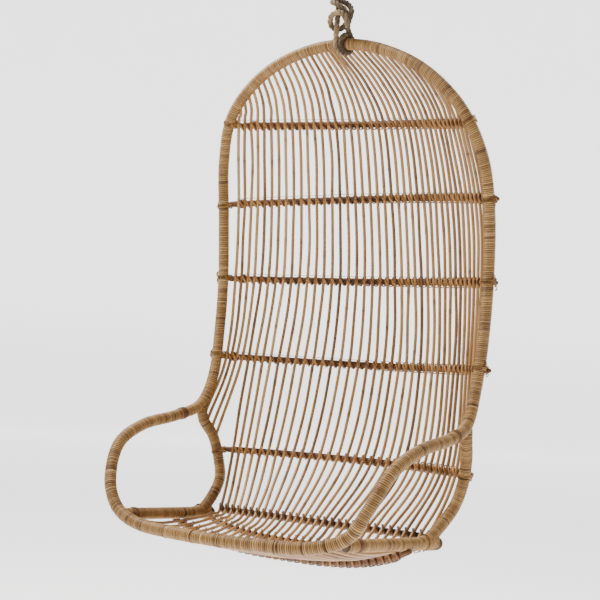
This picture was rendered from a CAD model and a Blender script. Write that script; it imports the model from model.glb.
"""The looks of a rattan hanging egg chair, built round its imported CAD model."""
import math
import random
import bpy
import numpy as np
from mathutils import Matrix

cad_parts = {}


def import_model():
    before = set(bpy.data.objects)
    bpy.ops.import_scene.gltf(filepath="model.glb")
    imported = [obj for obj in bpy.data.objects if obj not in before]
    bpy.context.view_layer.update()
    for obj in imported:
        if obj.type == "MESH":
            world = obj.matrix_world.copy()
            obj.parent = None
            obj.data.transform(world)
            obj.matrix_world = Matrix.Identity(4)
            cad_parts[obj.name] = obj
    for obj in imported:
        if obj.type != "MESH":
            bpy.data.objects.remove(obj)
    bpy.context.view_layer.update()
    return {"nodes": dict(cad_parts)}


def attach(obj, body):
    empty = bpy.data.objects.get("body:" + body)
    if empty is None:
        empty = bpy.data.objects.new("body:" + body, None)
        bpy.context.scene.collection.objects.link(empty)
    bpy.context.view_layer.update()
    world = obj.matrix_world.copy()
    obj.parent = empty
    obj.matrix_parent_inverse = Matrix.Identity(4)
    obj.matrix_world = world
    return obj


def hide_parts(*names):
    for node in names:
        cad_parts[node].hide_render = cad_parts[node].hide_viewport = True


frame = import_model()

# ---------------------------------------------------------------- the chair's design
# The same curves as the CAD's, in millimetres, in the chair's own frame.
LEAN = math.radians(5.0)
SKEW = 0.04
DROP = 390.0
POLE_R, CANE_R, BAR_R, ROPE_R = 12.5, 3.5, 6.0, 6.0
TURN_R = POLE_R + ROPE_R + 0.4
BAR_OFFSET = CANE_R + BAR_R + 1.65
HOOP = [[0, -26, 0], [105, -31, -16], [208, -34, -64], [290, -30, -145], [328, -14, -245],
        [338, -2, -370], [337, -6, -510], [335, -24, -630], [332, -50, -725], [335, -95, -790],
        [341, -180, -808], [338, -290, -815], [329, -380, -845], [307, -432, -910],
        [272, -450, -962], [200, -472, -983], [100, -492, -985], [0, -500, -985]]
POST = [[334, -93, -797], [331, -88, -828], [321, -68, -864], [310, -62, -915],
        [296, -78, -965], [283, -150, -1011], [281, -200, -1015]]
SIDE_RAIL = [[266, -443, -976], [285.5, -123, -1027]]
BARS = [[290, 48, 306, -19, -172, 95, -164, 1.8, -15, 302],
        [312, 50, 338, 5, -336, 124, -326, 1.8, 0, 352],
        [319, 56, 338, 4, -508, 136, -514, 1.8, 0, 350],
        [321, 68, 338, -28, -684, 116, -702, 1.8, 10, 352],
        [325, 69.7, 312, -52, -892, 30, -901, 1.8, 30, 324],
        [330, 20, 272, -114, -1013, -122, -1011, 3.0, 50, 271],
        [330, 20, 272, -150, -1022, -180, -1042, 3.0, 70, 270],
        [330, 20, 278, -246, -1015, -240, -1057, 3.0, 85, 293]]
RIBS, LONG_RIBS = 19, 15
FRONT_X = 246
LAST = len(HOOP) - 1


def unit(v):
    v = np.asarray(v, float)
    return v / np.linalg.norm(v)


def curve_at(points, t):
    """A point on the smooth curve through the points, at t counted in points."""
    n = len(points)
    i = min(max(int(math.floor(t)), 0), n - 2)
    f = t - i
    b, c = points[i], points[i + 1]
    a = points[i - 1] if i > 0 else 2 * b - c
    d = points[i + 2] if i + 2 < n else 2 * c - b
    return 0.5 * (2 * b + (c - a) * f + (2 * a - 5 * b + 4 * c - d) * f * f
                  + (3 * b - a - 3 * c + d) * f ** 3)


def place(p):
    """From the chair's own frame to the part's, in millimetres."""
    x, y, z = p
    t = min(1.0, max(0.0, (z + 330.0) / 150.0))
    z = z - SKEW * x * t * t * (3 - 2 * t)
    y = y + 26.0
    return np.array([x, TURN_R + y * math.cos(LEAN) - z * math.sin(LEAN),
                     y * math.sin(LEAN) + z * math.cos(LEAN) - DROP])


def placed(points):
    return np.array([place(p) for p in points])


def sided(points, side):
    """The points for side 1, and their mirror image for side -1."""
    return [np.array([side * p[0], p[1], p[2]], float) for p in points]


LOOP = sided(HOOP[:0:-1], -1) + sided(HOOP, 1)


def hoop_at(t):
    return curve_at(LOOP, LAST + t)


def cane_x(b, j):
    a = math.radians(BARS[b][1])
    return BARS[b][0] * math.sin(a * j / RIBS) / math.sin(a)


def cane_on_bar(b, x):
    d = BARS[b]
    w = 1 - min(1.08, abs(x) / d[2]) ** d[7]
    return np.array([x, d[3] + (d[5] - d[3]) * w, d[4] + (d[6] - d[4]) * w])


def bar_middle(b, x):
    a = math.radians(BARS[b][8])
    return cane_on_bar(b, x) + BAR_OFFSET * np.array([0, math.cos(a), -math.sin(a)])


def cane_top(j, side):
    u = j / RIBS
    return hoop_at(side * 2.75 * u ** 1.25 - 0.32 * (1 - u * u)) + np.array([0, 8, -5])


def on_post(z):
    zs = [p[2] for p in POST][::-1]
    return np.array([np.interp(z, zs, [p[0] for p in POST][::-1]) - 7,
                     np.interp(z, zs, [p[1] for p in POST][::-1]) + 5, z])


def cane(j, side):
    """The points of cane j on one side, 1 or -1, from the arch down."""
    top, first = cane_top(j, side), cane_on_bar(0, side * cane_x(0, j))
    bulge = (top + first) / 2 + 0.1 * np.linalg.norm(first - top) * np.array([0, 0.8, 0.6])
    if j > LONG_RIBS:
        end = on_post([-862, -845, -826, -806][j - LONG_RIBS - 1])
        end[0] *= side
        return [top, bulge] + [cane_on_bar(b, side * cane_x(b, j)) for b in range(4)] + [end]
    x = side * FRONT_X * j / LONG_RIBS
    end = np.array([x, -492 + 28 * (x / 200) ** 2, -990 + 23 * (abs(x) / 272) ** 6])
    crossings = [cane_on_bar(b, side * cane_x(b, j)) for b in range(8)]
    before = (crossings[-1] + end) / 2 - np.array([0, 0, 10])
    return [top, bulge] + crossings + [before, end]


# ---------------------------------------------------------------- paths and meshes
def path_length(points):
    return np.concatenate([[0], np.cumsum(np.linalg.norm(np.diff(points, axis=0), axis=1))])


def at_lengths(points, where):
    s = path_length(points)
    return np.stack([np.interp(where, s, points[:, k]) for k in range(3)], 1)


def frames(points, seed, closed=False):
    """Tangents, and two directions across that turn as little as they can."""
    if closed:
        tangents = np.roll(points, -1, 0) - np.roll(points, 1, 0)
    else:
        tangents = np.gradient(points, axis=0)
    tangents = tangents / np.linalg.norm(tangents, axis=1)[:, None]
    side = np.zeros_like(points)
    u = np.asarray(seed, float)
    for i, t in enumerate(tangents):
        u = unit(u - (u @ t) * t)
        side[i] = u
    return tangents, side, np.cross(tangents, side)


def make_object(name, verts, faces, material, marks=None):
    """A mesh object from points in millimetres, with its own attributes per point."""
    mesh = bpy.data.meshes.new(name)
    mesh.from_pydata((np.asarray(verts) / 1000).tolist(), [], [list(f) for f in faces])
    for key, values in (marks or {}).items():
        values = np.asarray(values, np.float32)
        kind = "FLOAT_VECTOR" if values.ndim == 2 else "FLOAT"
        layer = mesh.attributes.new(key, kind, "POINT")
        layer.data.foreach_set("vector" if values.ndim == 2 else "value", values.ravel())
    mesh.shade_smooth()
    mesh.materials.append(material)
    obj = bpy.data.objects.new(name, mesh)
    bpy.context.scene.collection.objects.link(obj)
    return obj


class Build:
    """Gathers several swept solids into one mesh."""

    def __init__(self):
        self.verts, self.faces, self.tone, self.grain, self.dip = [], [], [], [], []
        self.count = 0

    def add(self, verts, faces, tone, grain, dip):
        self.verts.append(np.asarray(verts))
        self.faces.extend([[i + self.count for i in f] for f in faces])
        self.tone.append(np.broadcast_to(tone, len(verts)))
        self.grain.append(np.asarray(grain))
        self.dip.append(np.broadcast_to(dip, len(verts)))
        self.count += len(verts)

    def make(self, name, material):
        marks = {"tone": np.concatenate(self.tone), "grain": np.concatenate(self.grain),
                 "dip": np.concatenate(self.dip)}
        return make_object(name, np.concatenate(self.verts), self.faces, material, marks)


def sweep(build, points, outline, seed, tone=0.5, dip=0.0, scale=None, closed=False,
          offset=0.0, guide=None):
    """An outline of (side, up) points carried along a path. guide gives the side direction."""
    n, k = len(points), len(outline)
    tangents, side, up = frames(points, seed, closed)
    if guide is not None:
        side = guide - np.sum(guide * tangents, 1)[:, None] * tangents
        side = side / np.linalg.norm(side, axis=1)[:, None]
        up = np.cross(tangents, side)
    outline = np.asarray(outline, float)
    size = np.ones(n) if scale is None else np.asarray(scale, float)
    verts = (points[:, None] + size[:, None, None] * (outline[None, :, 0, None] * side[:, None]
             + outline[None, :, 1, None] * up[:, None])).reshape(-1, 3)
    faces = []
    for i in range(n if closed else n - 1):
        a, b = i * k, ((i + 1) % n) * k
        for m in range(k):
            m2 = (m + 1) % k
            faces.append([a + m, a + m2, b + m2, b + m])
    if not closed:
        faces.append(list(range(k))[::-1])
        faces.append(list(range((n - 1) * k, n * k)))
    s = path_length(points)
    around = np.arange(k) / k * 6.0
    grain = np.stack([np.repeat(s, k) / 14.0 + offset, np.tile(around, n),
                      np.full(n * k, offset)], 1)
    tone = np.asarray(tone, float)
    tone = np.repeat(tone, k) if tone.ndim else tone
    dip = np.asarray(dip, float)
    dip = np.repeat(dip, k) if dip.ndim else dip
    build.add(verts, faces, tone, grain, dip)


def ring(r, k):
    return [(r * math.cos(2 * math.pi * m / k), r * math.sin(2 * math.pi * m / k))
            for m in range(k)]


def strip(w, t):
    """A peel's cross-section: flat inside, rounded outside."""
    return [(-w / 2, -t * 0.2), (-w * 0.3, t * 0.6), (0, t * 0.8), (w * 0.3, t * 0.6),
            (w / 2, -t * 0.2), (0, -t * 0.35)]


# ---------------------------------------------------------------- materials
def new_material(name):
    m = bpy.data.materials.new(name)
    m.use_nodes = True
    nt = m.node_tree
    nt.nodes.clear()
    out = nt.nodes.new("ShaderNodeOutputMaterial")
    bsdf = nt.nodes.new("ShaderNodeBsdfPrincipled")
    nt.links.new(bsdf.outputs[0], out.inputs[0])
    return m, nt, bsdf


def node(nt, kind, **settings):
    n = nt.nodes.new(kind)
    for key, value in settings.items():
        setattr(n, key, value)
    return n


def noise(nt, vector, scale, detail=3.0, rough=0.55):
    n = node(nt, "ShaderNodeTexNoise")
    n.inputs["Scale"].default_value = scale
    n.inputs["Detail"].default_value = detail
    n.inputs["Roughness"].default_value = rough
    nt.links.new(vector, n.inputs["Vector"])
    return n.outputs["Fac"]


def attribute(nt, name, socket="Fac"):
    n = node(nt, "ShaderNodeAttribute", attribute_name=name)
    return n.outputs[socket]


def maths(nt, kind, a, b):
    n = node(nt, "ShaderNodeMath", operation=kind)
    for k, v in enumerate((a, b)):
        if isinstance(v, (int, float)):
            n.inputs[k].default_value = v
        else:
            nt.links.new(v, n.inputs[k])
    return n.outputs[0]


def ramp(nt, value, stops):
    n = node(nt, "ShaderNodeValToRGB")
    els = n.color_ramp.elements
    while len(els) < len(stops):
        els.new(0.5)
    for e, (pos, c) in zip(els, stops):
        e.position = pos
        e.color = (*c, 1)
    nt.links.new(value, n.inputs[0])
    return n.outputs[0]


def mix(nt, kind, fac, a, b):
    n = node(nt, "ShaderNodeMix", data_type="RGBA", blend_type=kind)
    for k, v in ((0, fac), (6, a), (7, b)):
        if isinstance(v, (int, float)):
            n.inputs[k].default_value = v
        elif isinstance(v, tuple):
            n.inputs[k].default_value = (*v, 1)
        else:
            nt.links.new(v, n.inputs[k])
    return n.outputs[2]


def bump(nt, bsdf, height, strength, distance):
    n = node(nt, "ShaderNodeBump")
    n.inputs["Strength"].default_value = strength
    n.inputs["Distance"].default_value = distance
    nt.links.new(height, n.inputs["Height"])
    nt.links.new(n.outputs[0], bsdf.inputs["Normal"])


def cane_material(name, stops, groove, rough, spread=0.35, fine=0.22, coat=0.15, relief=0.3):
    """Peel or cane: a tone from the mesh, long fibres, blotches, and dark in its grooves."""
    m, nt, bsdf = new_material(name)
    grain = attribute(nt, "grain", "Vector")
    fibre = noise(nt, grain, 3.2, 4.0, 0.6)
    stretched = node(nt, "ShaderNodeMapping")
    stretched.inputs["Scale"].default_value = (0.25, 5.0, 1.0)
    nt.links.new(grain, stretched.inputs["Vector"])
    streak = noise(nt, stretched.outputs[0], 2.6, 3.0, 0.6)
    blotch = noise(nt, grain, 0.55, 2.0, 0.5)
    value = maths(nt, "ADD", attribute(nt, "tone"),
                  maths(nt, "MULTIPLY", maths(nt, "SUBTRACT", blotch, 0.5), spread * 1.6))
    value = maths(nt, "ADD", value,
                  maths(nt, "MULTIPLY", maths(nt, "SUBTRACT", streak, 0.5), fine * 2.2))
    value = maths(nt, "ADD", value,
                  maths(nt, "MULTIPLY", maths(nt, "SUBTRACT", fibre, 0.5), fine))
    colour = ramp(nt, value, stops)
    colour = mix(nt, "MIX", attribute(nt, "dip"), colour, groove)
    nt.links.new(colour, bsdf.inputs["Base Color"])
    shine = maths(nt, "ADD", maths(nt, "MULTIPLY", streak, 0.25), rough - 0.12)
    nt.links.new(shine, bsdf.inputs["Roughness"])
    bsdf.inputs["Coat Weight"].default_value = coat
    bsdf.inputs["Specular IOR Level"].default_value = 0.3
    bsdf.inputs["Coat Roughness"].default_value = 0.3
    bump(nt, bsdf, maths(nt, "ADD", streak, fibre), relief, 0.0004)
    return m


def metal_material(name, base, rough, scratches):
    m, nt, bsdf = new_material(name)
    where = node(nt, "ShaderNodeTexCoord").outputs["Object"]
    cloud = noise(nt, where, 60.0, 4.0, 0.6)
    stretched = node(nt, "ShaderNodeMapping")
    stretched.inputs["Scale"].default_value = (1.0, 1.0, scratches)
    nt.links.new(where, stretched.inputs["Vector"])
    lines = noise(nt, stretched.outputs[0], 240.0, 3.0, 0.7)
    dark = tuple(c * 0.72 for c in base)
    colour = ramp(nt, cloud, [(0.3, dark), (0.62, base)])
    nt.links.new(colour, bsdf.inputs["Base Color"])
    bsdf.inputs["Metallic"].default_value = 1.0
    nt.links.new(maths(nt, "ADD", maths(nt, "MULTIPLY", lines, 0.3), rough - 0.1),
                 bsdf.inputs["Roughness"])
    bump(nt, bsdf, lines, 0.12, 0.0002)
    return m


HONEY = [(0.05, (0.036, 0.014, 0.004)), (0.3, (0.14, 0.062, 0.015)), (0.55, (0.32, 0.165, 0.044)),
         (0.8, (0.47, 0.270, 0.090)), (1.0, (0.64, 0.420, 0.175))]
pole_mat = cane_material("rattan_peel", HONEY, (0.018, 0.009, 0.004), 0.5, 0.25, 0.14, 0.0)
cane_mat = cane_material("rattan_cane",
                         [(0.05, (0.065, 0.027, 0.008)), (0.35, (0.20, 0.094, 0.029)),
                          (0.6, (0.34, 0.180, 0.062)), (0.85, (0.50, 0.295, 0.112)),
                          (1.0, (0.66, 0.430, 0.190))],
                         (0.035, 0.016, 0.007), 0.45, 0.2, 0.07, 0.05, 0.12)
lash_mat = cane_material("lashing_peel",
                         [(0.1, (0.075, 0.027, 0.007)), (0.5, (0.25, 0.105, 0.027)),
                          (1.0, (0.45, 0.225, 0.070))], (0.03, 0.012, 0.004), 0.48, 0.3, 0.2, 0.05)
dark_mat = cane_material("dark_peel",
                         [(0.1, (0.034, 0.013, 0.004)), (0.5, (0.108, 0.043, 0.012)),
                          (1.0, (0.23, 0.098, 0.028))], (0.012, 0.006, 0.003), 0.55, 0.3, 0.2, 0.0)
rope_mat = cane_material("rope_fibre",
                         [(0.05, (0.030, 0.020, 0.012)), (0.5, (0.115, 0.076, 0.038)),
                          (1.0, (0.34, 0.225, 0.11))], (0.02, 0.013, 0.007), 0.85, 0.3, 0.6, 0.0)
twine_mat = cane_material("whipping_twine",
                          [(0.05, (0.09, 0.055, 0.025)), (0.5, (0.22, 0.145, 0.07)),
                           (1.0, (0.38, 0.27, 0.15))], (0.03, 0.018, 0.009), 0.8, 0.3, 0.5, 0.0)
steel_mat = metal_material("brushed_steel", (0.30, 0.30, 0.295), 0.36, 0.06)
link_mat = metal_material("polished_steel", (0.34, 0.34, 0.34), 0.24, 1.0)
bolt_mat = metal_material("bolt_steel", (0.20, 0.20, 0.21), 0.34, 1.0)
bronze_mat = metal_material("bearing_bronze", (0.36, 0.22, 0.075), 0.38, 1.0)

# ---------------------------------------------------------------- bound poles
# Each turn of peel has five rows of points: how dark each row is, and how far it stands out
TURN_SAMPLES = 5
POLE_SIDES = 18
PEEL_SINK = 0.18
DIP = [1.0, 0.42, 0.0, 0.0, 0.42]
RISE = [-1.0, -0.2, 0.2, 0.22, -0.15]


class Winding:
    """Split peel wound edge to edge along a path: where each turn starts, and its tone."""

    def __init__(self, path, seed, width, closed=False):
        rng = random.Random(seed)
        self.closed = closed
        if closed:
            path = np.vstack([path, path[:1]])
        self.s = path_length(path)
        self.path = path
        _, self.side, self.up = frames(path, (0, 1, 0))
        if closed:
            self.close_twist()
        turns = int(round(self.s[-1] / width))
        drift = 0.0
        widths, self.tone, self.lift = [], [], []
        for _ in range(turns):
            drift = 0.93 * drift + rng.gauss(0, 0.012)
            widths.append(width * (1 + 0.16 * rng.gauss(0, 1)) if rng.random() > 0.06
                          else width * 0.65)
            tone = 0.56 + drift + 0.075 * rng.gauss(0, 1)
            chance = rng.random()
            if chance < 0.03:
                tone -= 0.30
            elif chance < 0.10:
                tone -= 0.14
            elif chance > 0.94:
                tone += 0.14
            self.tone.append(tone)
            self.lift.append(rng.gauss(0, 0.11))
        widths = np.clip(widths, width * 0.5, width * 1.4)
        self.edges = np.concatenate([[0], np.cumsum(widths)]) / widths.sum() * self.s[-1]
        self.turns = turns
        self.rows = turns * TURN_SAMPLES

    def close_twist(self):
        """Turns the directions across evenly, so that they meet after one lap."""
        a, b, n = self.side[0], self.side[-1], self.up[0]
        twist = math.atan2(b @ n, b @ a)
        for i, s in enumerate(self.s):
            t = -twist * s / self.s[-1]
            side, up = self.side[i].copy(), self.up[i].copy()
            self.side[i] = math.cos(t) * side + math.sin(t) * up
            self.up[i] = math.cos(t) * up - math.sin(t) * side

    def turn_at(self, s):
        return float(np.interp(s, self.edges, np.arange(self.turns + 1)))

    def piece(self, build, first, last):
        """The turns from first to last. Neighbouring pieces share their edges."""
        k, ns = POLE_SIDES, TURN_SAMPLES
        rows = np.arange(first * ns, last * ns + ns + 1)
        r, m = np.meshgrid(rows, np.arange(k), indexing="ij")
        u = (r + m * ns / k) / ns
        if self.closed:
            s = np.interp(u % self.turns, np.arange(self.turns + 1), self.edges)
        else:
            s = np.interp(np.clip(u, 0, self.turns), np.arange(self.turns + 1), self.edges)
        turn = (r // ns) % self.turns if self.closed else np.clip(r // ns, 0, self.turns - 1)
        j = r % ns
        tone = np.asarray(self.tone)[turn]
        lift = np.asarray(self.lift)[turn]
        rad = POLE_R - PEEL_SINK + np.asarray(RISE)[j] + lift * (j > 0)
        a = 2 * math.pi * m / k
        pos, side, up = (np.stack([np.interp(s, self.s, values[:, c]) for c in range(3)], -1)
                         for values in (self.path, self.side, self.up))
        verts = pos + (rad * np.cos(a))[..., None] * side + (rad * np.sin(a))[..., None] * up
        n = len(rows)
        grain = np.stack([(r // ns + m / k) * 5.6, j * 0.5, turn * 0.37], -1)
        dip = np.asarray(DIP)[j]
        faces = []
        for i in range(n - 1):
            for c in range(k - 1):
                faces.append([i * k + c, i * k + c + 1, (i + 1) * k + c + 1, (i + 1) * k + c])
            if i + ns + 1 < n:
                faces.append([i * k + k - 1, (i + ns) * k, (i + ns + 1) * k, (i + 1) * k + k - 1])
        verts = list(verts.reshape(-1, 3))
        lead = list(range(k)) + [i * k for i in range(ns, 0, -1)]
        tail = [(n - 1) * k + c for c in range(k - 1, -1, -1)]
        tail += [i * k + k - 1 for i in range(n - 2, n - ns - 2, -1)]
        grain, tone, dip = grain.reshape(-1, 3), tone.ravel(), dip.ravel()
        for loop in (lead[::-1], tail[::-1]):
            centre = np.mean([verts[i] for i in loop], axis=0)
            verts.append(centre)
            c = len(verts) - 1
            for x, y in zip(loop, loop[1:] + loop[:1]):
                faces.append([x, y, c])
        grain = np.vstack([grain, grain[:2]])
        tone = np.concatenate([tone, [0.3, 0.3]])
        dip = np.concatenate([dip, [0.5, 0.5]])
        build.add(np.array(verts), faces, tone, grain, dip)


def chair_piece(build, name, material, *nodes):
    """Makes a piece that moves with the chair, and says which CAD nodes it replaces."""
    obj = build.make(name, material)
    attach(obj, "chair")
    if nodes:
        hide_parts(*nodes)
    return obj


def slot(obj):
    return obj


ARM_START, ARM_END = 9.5, 14.5
HOOP_STEPS = 24
HOOP_PEEL, POST_PEEL, RAIL_PEEL = 3.8, 3.1, 3.2
lap = placed([hoop_at(i / HOOP_STEPS - LAST) for i in range(2 * LAST * HOOP_STEPS)])
hoop_wind = Winding(lap, 11, HOOP_PEEL, closed=True)


def hoop_turn(t):
    """The winding's turn at t counted in the hoop's points from the middle of the top."""
    return int(round(hoop_wind.turn_at(hoop_wind.s[int(round((t + LAST) * HOOP_STEPS))])))


for name, a, b in (("hoop_arch", -ARM_START, ARM_START), ("arm_right", ARM_START, ARM_END),
                   ("arm_left", -ARM_END, -ARM_START)):
    build = Build()
    hoop_wind.piece(build, hoop_turn(a), hoop_turn(b))
    slot(chair_piece(build, "bound_" + name, pole_mat, name))
build = Build()
hoop_wind.piece(build, hoop_turn(ARM_END), hoop_wind.turns + hoop_turn(-ARM_END))
slot(chair_piece(build, "bound_front_rail", pole_mat, "front_rail"))


def smooth_path(points, per=24):
    points = [np.asarray(p, float) for p in points]
    return np.array([curve_at(points, k / per) for k in range((len(points) - 1) * per + 1)])


for side, word in ((-1, "left"), (1, "right")):
    path = placed(smooth_path(sided(POST, side)))
    wind = Winding(path, 30 + side, POST_PEEL)
    build = Build()
    wind.piece(build, 0, wind.turns - 1)
    slot(chair_piece(build, "bound_side_post_" + word, pole_mat, "side_post_" + word))
    ends = placed(sided(SIDE_RAIL, side))
    path = np.array([ends[0] + (ends[1] - ends[0]) * t for t in np.linspace(0, 1, 40)])
    wind = Winding(path, 40 + side, RAIL_PEEL)
    build = Build()
    wind.piece(build, 0, wind.turns - 1)
    slot(chair_piece(build, "bound_side_rail_" + word, pole_mat, "side_rail_" + word))

# ---------------------------------------------------------------- canes
CANE_SIDES, CANE_STEP = 9, 6.0
# The corners of the cane's faceted ring, which has the round cane's area
CANE_CORNER = CANE_R * math.sqrt(2 * math.pi / CANE_SIDES / math.sin(2 * math.pi / CANE_SIDES))


def cane_path(j, rng):
    """One cane's line, with the small wander of a natural cane between its lashings."""
    points = cane(abs(j), -1 if j < 0 else 1)
    per = 24
    line = []
    sway = [(rng.gauss(0, 1.0), rng.gauss(0, 0.7)) for _ in points]
    for k in range((len(points) - 1) * per + 1):
        t = k / per
        i = min(int(t), len(points) - 2)
        f = t - i
        wave = math.sin(math.pi * f) ** 2 * (0 if i == 0 else 1)
        p = curve_at(points, t) + np.array([sway[i][0], sway[i][1], 0]) * wave
        line.append(place(p))
    line = np.array(line)
    length = path_length(line)[-1]
    return at_lengths(line, np.linspace(0, length, int(length / CANE_STEP) + 1))


def add_cane(build, j):
    rng = random.Random(500 + j)
    line = cane_path(j, rng)
    s = path_length(line)
    radius = np.ones(len(s)) + 0.02 * np.sin(s / 61 + rng.random() * 6)
    tone = 0.52 + rng.gauss(0, 0.10) + 0.05 * np.sin(s / 170 + rng.random() * 6)
    dip = np.zeros(len(s))
    at = rng.uniform(40, 220)
    while at < s[-1]:
        near = np.exp(-((s - at) / 5.0) ** 2)
        radius = radius + 0.07 * near
        dip = np.maximum(dip, 0.45 * np.exp(-((s - at) / 2.2) ** 2))
        tone = tone - 0.08 * np.exp(-((s - at) / 16.0) ** 2)
        at += rng.uniform(170, 330)
    sweep(build, line, ring(CANE_CORNER, CANE_SIDES), (1, 0.2, 0.1), tone=tone, dip=dip,
          scale=radius, offset=rng.uniform(0, 90))


for j in range(RIBS + 1):
    build = Build()
    add_cane(build, j)
    if j:
        add_cane(build, -j)
    node_name = "rib_centre" if j == 0 else f"rib_pair_{j:02d}"
    slot(chair_piece(build, "cane_" + node_name[4:], cane_mat, node_name))

# ---------------------------------------------------------------- crossbars and lashings
BAR_STEP = 7.0


def bar_line(b, x0, x1):
    count = int(abs(x1 - x0) / BAR_STEP) + 2
    return placed([bar_middle(b, x) for x in np.linspace(x0, x1, count)])


def crossing(b, j):
    """Where cane j crosses bar b: the bar's middle, and directions along it, up it and out."""
    x = math.copysign(cane_x(b, abs(j)), j) if j else 0.0
    middle = place(bar_middle(b, x))
    along = unit(place(bar_middle(b, x + 2)) - place(bar_middle(b, x - 2)))
    out = place(cane_on_bar(b, x)) - middle
    out = unit(out - (out @ along) * along)
    return x, middle, along, np.cross(out, along), out


# One loop of a lashing: along the bar, up, and out towards the cane
LASH = [(-4.6, 4.0, -7.6), (-5.4, 8.4, -1.5), (-5.4, 9.8, 4.0), (-4.9, 8.8, 9.5), (-3.6, 5.8, 14.0),
        (-1.3, 2.0, 15.9), (1.3, -2.0, 15.9), (3.6, -5.8, 14.0), (4.9, -8.8, 9.5),
        (5.4, -9.8, 4.0), (5.4, -8.4, -1.5), (4.6, -4.0, -7.6)]


def lash_bar(build, b, width, seed, tone0, spread=1.0, thick=2.3):
    rng = random.Random(seed)
    count = LONG_RIBS if b > 3 else RIBS
    points, normals = [], []
    for j in range(-count, count + 1):
        x, middle, along, up, out = crossing(b, j)
        near = [abs(abs(cane_x(b, abs(j) + d)) - abs(x)) for d in (-1, 1) if abs(j) + d >= 0]
        room = min(min(near), 15.0) / 15.0
        wide = 0.62 + 0.38 * room
        jig = rng.gauss(0, 0.25)
        for a, u, o in LASH:
            points.append(middle + (a * wide * spread + jig) * along + u * spread * up
                          + (o + 0.1 * jig) * out)
            normals.append(u * up + (o - 4.5) * 0.8 * out)
        if j < count:
            half = (middle + crossing(b, j + 1)[1]) / 2
            points.append(half - 8.6 * out)
            normals.append(-out)
    points, normals = np.array(points), np.array(normals)
    dense = smooth_path(points, 3)
    dense_n = smooth_path(normals, 3)
    tangent = np.gradient(dense, axis=0)
    guide = np.cross(dense_n, tangent)
    guide = guide / np.linalg.norm(guide, axis=1)[:, None]
    tone = tone0 + 0.14 * np.array([math.sin(i / 23.0 + seed) + math.sin(i / 61.0)
                                    for i in range(len(dense))])
    sweep(build, dense, strip(width, thick), (0, 0, 1), tone=tone, guide=guide, offset=seed)


def loop_round(build, centre, axis, near, reach_a, reach_b, seed, turns, width, pitch, lean_by,
               tone0, thick=1.1):
    """Turns of peel round a pole, stretched one way to take in what is lashed to it."""
    rng = random.Random(seed)
    axis = unit(axis)
    near = unit(near - (near @ axis) * axis)
    across = np.cross(axis, near)
    for k in range(turns):
        points, outs = [], []
        shift = (k - (turns - 1) / 2) * pitch + rng.gauss(0, 0.12)
        for i in range(36):
            a = 2 * math.pi * i / 36
            c, s = math.cos(a), math.sin(a)
            reach = reach_b if c > 0 else reach_a
            points.append(centre + near * c * reach + across * s * reach_a
                          + axis * (shift + lean_by * s * max(0.0, 0.35 + c)))
            outs.append(near * c + across * s)
        points, outs = np.array(points), np.array(outs)
        tangent = np.roll(points, -1, 0) - np.roll(points, 1, 0)
        guide = np.cross(outs, tangent)
        guide = guide / np.linalg.norm(guide, axis=1)[:, None]
        sweep(build, points, strip(width, thick), (0, 0, 1), tone=tone0 + rng.gauss(0, 0.1),
              guide=guide, closed=True, offset=seed + 3.7 * k)


WRAP_T, THIN_WRAP_T = 1.5, 0.2      # the dark peel wound round each bar, over the cane
SEAT_BAR_2 = 6                      # the bar with the smaller lashings
BAR_NODES = [f"back_bar_{k}" for k in range(1, 6)] + [f"seat_bar_{k}" for k in range(1, 4)]
for b, node_name in enumerate(BAR_NODES):
    half = BARS[b][9]
    rng = random.Random(70 + b)
    line = bar_line(b, -half, half)
    build = Build()
    s = path_length(line)
    tone = 0.45 + 0.1 * np.sin(s / 90 + b)
    swell = 1 + 0.05 * np.sin(s / 4.1 + b) * np.sin(s / 23.0)
    swell *= np.interp(np.minimum(s, s[-1] - s), [0, 2, 18, 34], [0.6, 0.74, 0.78, 1.0])
    wrap = THIN_WRAP_T if b == SEAT_BAR_2 else WRAP_T
    sweep(build, line, ring(BAR_R + wrap, 14), (0, 1, 0), tone=tone, scale=swell,
          offset=b * 7.3)
    slot(chair_piece(build, "crossbar_" + node_name, dark_mat, node_name))
    build = Build()
    if b == SEAT_BAR_2:
        lash_bar(build, b, 3.4, 90 + b, 0.5, 0.82, 1.2)
    else:
        lash_bar(build, b, 5.2, 90 + b, 0.5 if b < SEAT_BAR_2 + 1 else 0.3)
    slot(chair_piece(build, "lashing_" + node_name, lash_mat if b != 5 else dark_mat))
    if b < 4:
        reach = BARS[b][0] + 8
        runner = [bar_middle(b, x) for x in np.linspace(-reach, reach, 90)]
        up = np.array([0, 0.0, 11.6])
        toward = np.array([0, -6.0, 0])
        build = Build()
        sweep(build, placed([p + up + toward for p in runner]), ring(0.65, 6), (0, 1, 0),
              tone=0.4, offset=b)
        slot(chair_piece(build, "runner_" + node_name, dark_mat))

# Lashings that hold the back bars' ends to the hoop and the side posts
hoop_dense = np.array([hoop_at(t) for t in np.linspace(0, 10, 400)])
post_dense = smooth_path(POST)
build = Build()
for b in range(5):
    for side in (-1, 1):
        guide_line = post_dense if b == 4 else hoop_dense
        target = BARS[b][9] - 14
        bar_end = bar_middle(b, target)
        i = int(np.argmin(np.linalg.norm(guide_line - bar_end, axis=1)))
        centre = guide_line[i]
        before, after = guide_line[i - 1], guide_line[min(i + 1, len(guide_line) - 1)]
        def world(p):
            return place([side * p[0], p[1], p[2]])
        axis = world(before) - world(after)
        away = world(bar_middle(b, centre[0])) - world(centre)
        gap = np.linalg.norm(away)
        for lean_by, count in ((6.5, 2), (-6.5, 2)):
            loop_round(build, world(centre), axis, away, POLE_R + 0.7, gap + BAR_R + 0.9,
                       200 + b * 4 + side + count, count, 3.4, 3.6, lean_by, 0.42)
slot(chair_piece(build, "bar_end_lashings", pole_mat))

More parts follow.
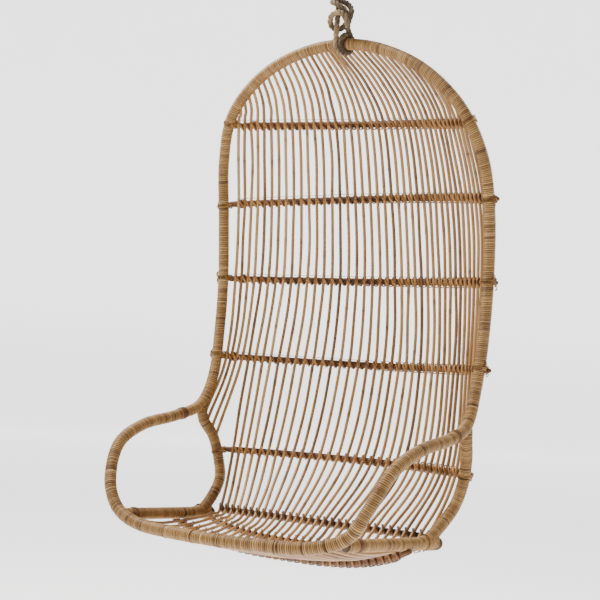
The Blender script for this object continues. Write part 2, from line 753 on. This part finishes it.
# The loose ends of those lashings curl out past the hoop
build = Build()
for b in (1, 2, 3):
    for side in (-1, 1):
        rng = random.Random(400 + 3 * b + side)
        i = int(np.argmin(np.linalg.norm(hoop_dense - bar_middle(b, BARS[b][9] - 14), axis=1)))
        centre = hoop_dense[i]
        for k in range(4):
            lift, turn, curl = rng.uniform(-7, 5), rng.uniform(0.6, 1.3), rng.uniform(4.0, 6.5)
            start = centre + np.array([POLE_R - 1.0, rng.uniform(-3, 4), lift])
            points = [start + curl * np.array([math.sin(2.9 * f), turn * (f - 0.5),
                                               0.9 * (1 - math.cos(3.1 * f)) * (1 if k % 2 else -1)])
                      for f in np.linspace(0, 1, 12)]
            points = placed(sided(points, side))
            sweep(build, points, strip(4.2, 1.6), (0, 1, 0), tone=0.4, offset=k + 3.1 * b)
slot(chair_piece(build, "lashing_curls", lash_mat))

# A lump of dark peel round each bar, just inside the hoop
build = Build()
for b in range(4):
    for side in (-1, 1):
        x = side * (BARS[b][9] - 41)
        along = place(bar_middle(b, x + 2)) - place(bar_middle(b, x - 2))
        loop_round(build, place(bar_middle(b, x)), along, np.array([0, -1.0, 0]), BAR_R + 3.2,
                   BAR_R + 4.6, 450 + 2 * b + side, 3, 4.2, 4.0, 3.0, 0.45, 2.0)
slot(chair_piece(build, "bar_end_lumps", dark_mat))


def hoop_world(t):
    return place(hoop_at(t))


def rings_at(build, centre, axis, count, pitch, width, tone, seed, radius=POLE_R + 0.7):
    loop_round(build, centre, axis, np.array([0.13, 0.9, 0.4]), radius, radius, seed, count,
               width, pitch, 0.0, tone)


build = Build()
for side in (-1, 1):
    t = side * 9.75
    rings_at(build, hoop_world(t), hoop_world(t + 0.05) - hoop_world(t - 0.05), 3, 4.6, 3.2, 0.5,
             300 + side)
slot(chair_piece(build, "arm_rings", dark_mat, "arm_bindings"))
build = Build()
for side in (-1, 1):
    ends = placed(sided(SIDE_RAIL, side))
    rings_at(build, ends[0] + (ends[1] - ends[0]) * 0.12, ends[1] - ends[0], 3, 4.0, 3.4, 0.6,
             310 + side)
slot(chair_piece(build, "corner_rings", dark_mat, "corner_bindings"))
build = Build()
for side in (-1, 1):
    ends = placed(sided(SIDE_RAIL, side))
    rings_at(build, ends[0] + (ends[1] - ends[0]) * 0.965, ends[1] - ends[0], 3, 4.0, 3.4, 0.4,
             320 + side)
slot(chair_piece(build, "rear_rings", dark_mat, "rear_bindings"))
build = Build()
for side in (-1, 1):
    ends = placed(sided(SIDE_RAIL, side))
    along = ends[1] - ends[0]
    for at, more, lean_by, count in ((0.88, 6.0, 0.0, 7), (0.93, 11.0, 5.0, 3),
                                     (0.93, 11.0, -5.0, 3)):
        loop_round(build, ends[0] + along * at, along, np.array([0, 0, 1.0]), POLE_R + 0.9,
                   POLE_R + more, 340 + side + count, count, 3.5, 3.7, lean_by, 0.5)
slot(chair_piece(build, "post_foot_lashings", pole_mat))
build = Build()
for k, t in enumerate((16.75, 15.6, -15.9, -16.6)):
    rings_at(build, hoop_world(t), hoop_world(t + 0.05) - hoop_world(t - 0.05), 1, 4.0, 1.9, 0.12,
             330 + k, POLE_R + 0.1)
slot(chair_piece(build, "front_rail_rings", pole_mat, "rail_binding"))

# ---------------------------------------------------------------- the rope
hoop_top = place([0, -26, 0])
PLATE_T, CUP_H = 8.0, 34.0
CUP_BOTTOM = -PLATE_T - CUP_H
EYE_R, EYE_WIRE = 14.0, 5.0
EYE_Z = CUP_BOTTOM - 3 - EYE_R - EYE_WIRE
RING_R, RING_WIRE = 20.0, 4.0
RING_Z = EYE_Z - EYE_R + EYE_WIRE + RING_WIRE + 0.3 - RING_R
ROPE_EYE_R = 16.0
ROPE_EYE_Z = RING_Z - RING_R + RING_WIRE + ROPE_R + 0.3 - ROPE_EYE_R
WHIP_TOP, WHIP_L = ROPE_EYE_Z - ROPE_EYE_R, 34.0


def whip_point(drop, tone):
    return np.array([0, 0, WHIP_TOP - drop, tone])


def knot_point(x, y, z, tone):
    """A point of the rope, placed from the middle of the hoop's top, and its tone."""
    return np.append(hoop_top + np.array([x, y, z], float), tone)


# The rope's line, each point with the rope's tone there: down, twice round the hoop, up
# at the right, round the standing part in two loose hitches, and its tail
TURN_AT = [-6, -6, -5.5, -4, -1, 4, 7.5, 7.5, 7, 7.3, 8, 11, 13]
route = [whip_point(4, 0.5), whip_point(WHIP_L + 30, 0.5), knot_point(-1, -19, 130, 0.45),
         knot_point(-2, -19, 85, 0.35), knot_point(-4, -19, 50, 0.45),
         knot_point(-5, -19, 24, 0.75)]
for k, x in enumerate(TURN_AT):
    a = math.radians(-45 * k)
    tone = 0.75 if k < 4 else (0.4 if 4 < k < 8 else 0.15)
    route.append(knot_point(x, -TURN_R * math.cos(a), TURN_R * math.sin(a), tone))
route += [knot_point(*p) for p in (
    (13, 17, 12, 0.3), (10, 8, 26, 0.35), (10, -2, 38, 0.35), (17, -7, 48, 0.35),
    (24, -12, 58, 0.35), (27, -14, 70, 0.35), (14, -8, 84, 0.3), (-1, -5, 92, 0.3),
    (-11, -8, 94, 0.4), (-18, -16, 90, 0.6), (-13, -27, 87, 0.75), (-3, -32, 82, 0.5),
    (9, -33, 75, 0.4), (21, -31, 66, 0.3), (24, -25, 51, 0.25), (16, -17, 40, 0.25),
    (2, -7, 35, 0.2), (-12, -6, 33, 0.3), (-20, -11, 36, 0.45), (-22, -19, 45, 0.5),
    (-14, -28, 57, 0.7), (3, -33, 62, 0.75), (18, -38, 58, 0.6), (26, -39, 50, 0.5),
    (30, -35, 38, 0.55), (30, -29, 27, 0.5))]
dense = smooth_path(route, 8)
reach = path_length(dense[:, :3])
where = np.arange(0, reach[-1], 2.0)
rope_line = at_lengths(dense[:, :3], where)
rope_tone = np.interp(where, reach, dense[:, 3])


STRANDS, STRAND_SIDES = 3, 10


def laid_rope(build, line, radius, pitch, seed_dir, tone0=0.5):
    """Three strands twisted together, each a swept tube with its own yarns."""
    s = path_length(line)
    _, side, up = frames(line, seed_dir)
    strand_r = radius * 0.56
    for k in range(STRANDS):
        a = (2 * math.pi * (s / pitch + k / STRANDS))[:, None]
        centre = line + (radius - 0.86 * strand_r) * (np.cos(a) * side + np.sin(a) * up)
        wobble = 1 + 0.03 * np.sin(s / 3.1 + k) + 0.02 * np.sin(s / 7.7 + 2 * k)
        tone = tone0 + 0.10 * np.sin(s / 37.0 + k * 2) + 0.06 * np.sin(s / 5.0 + k)
        sweep(build, centre, ring(strand_r, STRAND_SIDES), seed_dir, tone=tone, scale=wobble,
              offset=11.0 * k)
        skin = build.verts[-1].reshape(len(centre), STRAND_SIDES, 3)
        inner = np.linalg.norm(skin - line[:, None], axis=2).ravel()
        build.dip[-1] = np.clip((0.86 * radius - inner) / (0.3 * radius), 0, 1)


build = Build()
laid_rope(build, rope_line, ROPE_R, 34.0, (0, 1, 0.1), tone0=rope_tone)
rope = chair_piece(build, "rope_and_knot", rope_mat, "rope", "rope_turns", "rope_knot")
slot(rope)

lap_eye = np.array([[ROPE_EYE_R * math.cos(a), 0, ROPE_EYE_Z + ROPE_EYE_R * math.sin(a)]
                    for a in np.linspace(-math.pi / 2, 1.5 * math.pi, 61)[:-1]])
build = Build()
eye_pitch = path_length(lap_eye)[-1] / 3.0 * 1.0169
laid_rope(build, np.vstack([lap_eye, lap_eye[:1]]), ROPE_R, eye_pitch, (0, 1, 0))
slot(chair_piece(build, "rope_eye_splice", rope_mat, "rope_eye"))

build = Build()
TWINE_PITCH, COIL_R, COIL_SIDES = 1.9, ROPE_R + 2.0, 24
coil = []
steps = int(WHIP_L / TWINE_PITCH * COIL_SIDES)
for i in range(steps + 1):
    a = 2 * math.pi * i / COIL_SIDES
    coil.append([COIL_R * math.cos(a), COIL_R * math.sin(a), WHIP_TOP - WHIP_L * i / steps])
sweep(build, np.array(coil), ring(0.98, 6), (0, 0, 1), tone=0.5)
core = np.array([[0, 0, z] for z in np.linspace(WHIP_TOP - 0.6, WHIP_TOP - WHIP_L + 0.6, 8)])
sweep(build, core, ring(ROPE_R + 1.9, 20), (0, 1, 0), tone=0.2)
slot(chair_piece(build, "rope_whipping_twine", twine_mat, "rope_whipping"))

# ---------------------------------------------------------------- the ceiling fitting
WIRE_STEPS, WIRE_SIDES = 96, 20


def wire_ring(name, r, wire, z, material):
    """A ring of round wire that stands square to the X axis, its middle at height z."""
    k = WIRE_SIDES
    verts, faces = [], []
    for i in range(WIRE_STEPS):
        a, b = i * k, ((i + 1) % WIRE_STEPS) * k
        turn = 2 * math.pi * i / WIRE_STEPS
        for m in range(k):
            f = 2 * math.pi * m / k
            out = r + wire * math.cos(f)
            verts.append((wire * math.sin(f), out * math.cos(turn), out * math.sin(turn) + z))
            m2 = (m + 1) % k
            faces.append([a + m, b + m, b + m2, a + m2])
    return make_object(name, verts, faces, material)


for node_name, material in (("ceiling_plate", steel_mat), ("swivel_cup", steel_mat),
                            ("cup_screws", bolt_mat), ("thrust_washer", bronze_mat),
                            ("swivel_nut", bolt_mat), ("swivel_eye", link_mat)):
    obj = frame["nodes"][node_name]
    obj.data.materials.clear()
    obj.data.materials.append(material)
hanging = wire_ring("hanging_ring_wire", RING_R, RING_WIRE, RING_Z, link_mat)
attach(hanging, "ring")
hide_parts("hanging_ring")

# ---------------------------------------------------------------- camera, light and floor
cam_data = bpy.data.cameras.new("camera")
cam = bpy.data.objects.new("camera", cam_data)
bpy.context.scene.collection.objects.link(cam)
bpy.context.scene.camera = cam
cam_data.sensor_width = 36
cam_data.lens = 80.7
cam_data.clip_end = 60
AZIMUTH, PITCH = math.radians(33.72), math.radians(2.27)
eye = place([1539, -2497, -434])


def turned(v):
    x, y, z = v
    return np.array([x, y * math.cos(LEAN) - z * math.sin(LEAN),
                     y * math.sin(LEAN) + z * math.cos(LEAN)])


level = np.array([-math.sin(AZIMUTH), math.cos(AZIMUTH), 0])
right = turned([math.cos(AZIMUTH), math.sin(AZIMUTH), 0])
ahead = turned(level * math.cos(PITCH) - np.array([0, 0, math.sin(PITCH)]))
above = turned(level * math.sin(PITCH) + np.array([0, 0, math.cos(PITCH)]))
pose = np.eye(4)
pose[:3, 0], pose[:3, 1], pose[:3, 2], pose[:3, 3] = right, above, -ahead, eye / 1000
cam.matrix_world = Matrix(pose.tolist())

floor_mat, nt, bsdf = new_material("studio_floor")
where = node(nt, "ShaderNodeTexCoord").outputs["Object"]
pale = ramp(nt, noise(nt, where, 0.8, 2.0), [(0.3, (0.90,) * 3), (0.7, (0.94,) * 3)])
nt.links.new(pale, bsdf.inputs["Base Color"])
bsdf.inputs["Roughness"].default_value = 0.9
bsdf.inputs["Emission Color"].default_value = (1, 1, 1, 1)
bsdf.inputs["Emission Strength"].default_value = 1.5
# A level floor that curves up into a wall far behind the chair, square to the camera
FLOOR_Z, FLOOR_REACH = -2150, 55000
COVE_Y, COVE_R, WALL_TOP = 12000, 1600, 3500
profile = [(-FLOOR_REACH, FLOOR_Z), (COVE_Y, FLOOR_Z)]
profile += [(COVE_Y + COVE_R * math.sin(a), FLOOR_Z + COVE_R * (1 - math.cos(a)))
            for a in np.linspace(0.1, math.pi / 2, 16)]
profile += [(COVE_Y + COVE_R, WALL_TOP)]
c, s = math.cos(AZIMUTH), math.sin(AZIMUTH)
verts = [(x * c - y * s, x * s + y * c, z)
         for y, z in profile for x in (-FLOOR_REACH, FLOOR_REACH)]
faces = [[2 * i, 2 * i + 1, 2 * i + 3, 2 * i + 2] for i in range(len(profile) - 1)]
floor = make_object("studio_floor", verts, faces, floor_mat)


def area_light(name, at, look, size, power, colour=(1, 1, 1)):
    data = bpy.data.lights.new(name, "AREA")
    data.shape = "SQUARE"
    data.size, data.energy, data.color = size, power, colour
    obj = bpy.data.objects.new(name, data)
    bpy.context.scene.collection.objects.link(obj)
    back = unit(np.array(at, float) - np.array(look, float))
    x = unit(np.cross([0, 0, 1], back))
    y = np.cross(back, x)
    m = np.eye(4)
    m[:3, 0], m[:3, 1], m[:3, 2], m[:3, 3] = x, y, back, at
    obj.matrix_world = Matrix(m.tolist())


area_light("key", (-1.7, -0.5, 1.9), (0, -0.1, -0.9), 1.1, 310, (1, 0.96, 0.90))
area_light("fill", (-0.2, -2.9, 0.6), (0, 0, -0.9), 2.0, 10, (1, 0.98, 0.95))
area_light("rim", (0.6, 2.2, 0.9), (0, 0, -0.8), 1.6, 70)
world = bpy.data.worlds.new("studio")
bpy.context.scene.world = world
world.use_nodes = True
sky = world.node_tree.nodes["Background"]
sky.inputs["Color"].default_value = (1, 1, 1, 1)
sky.inputs["Strength"].default_value = 0.55
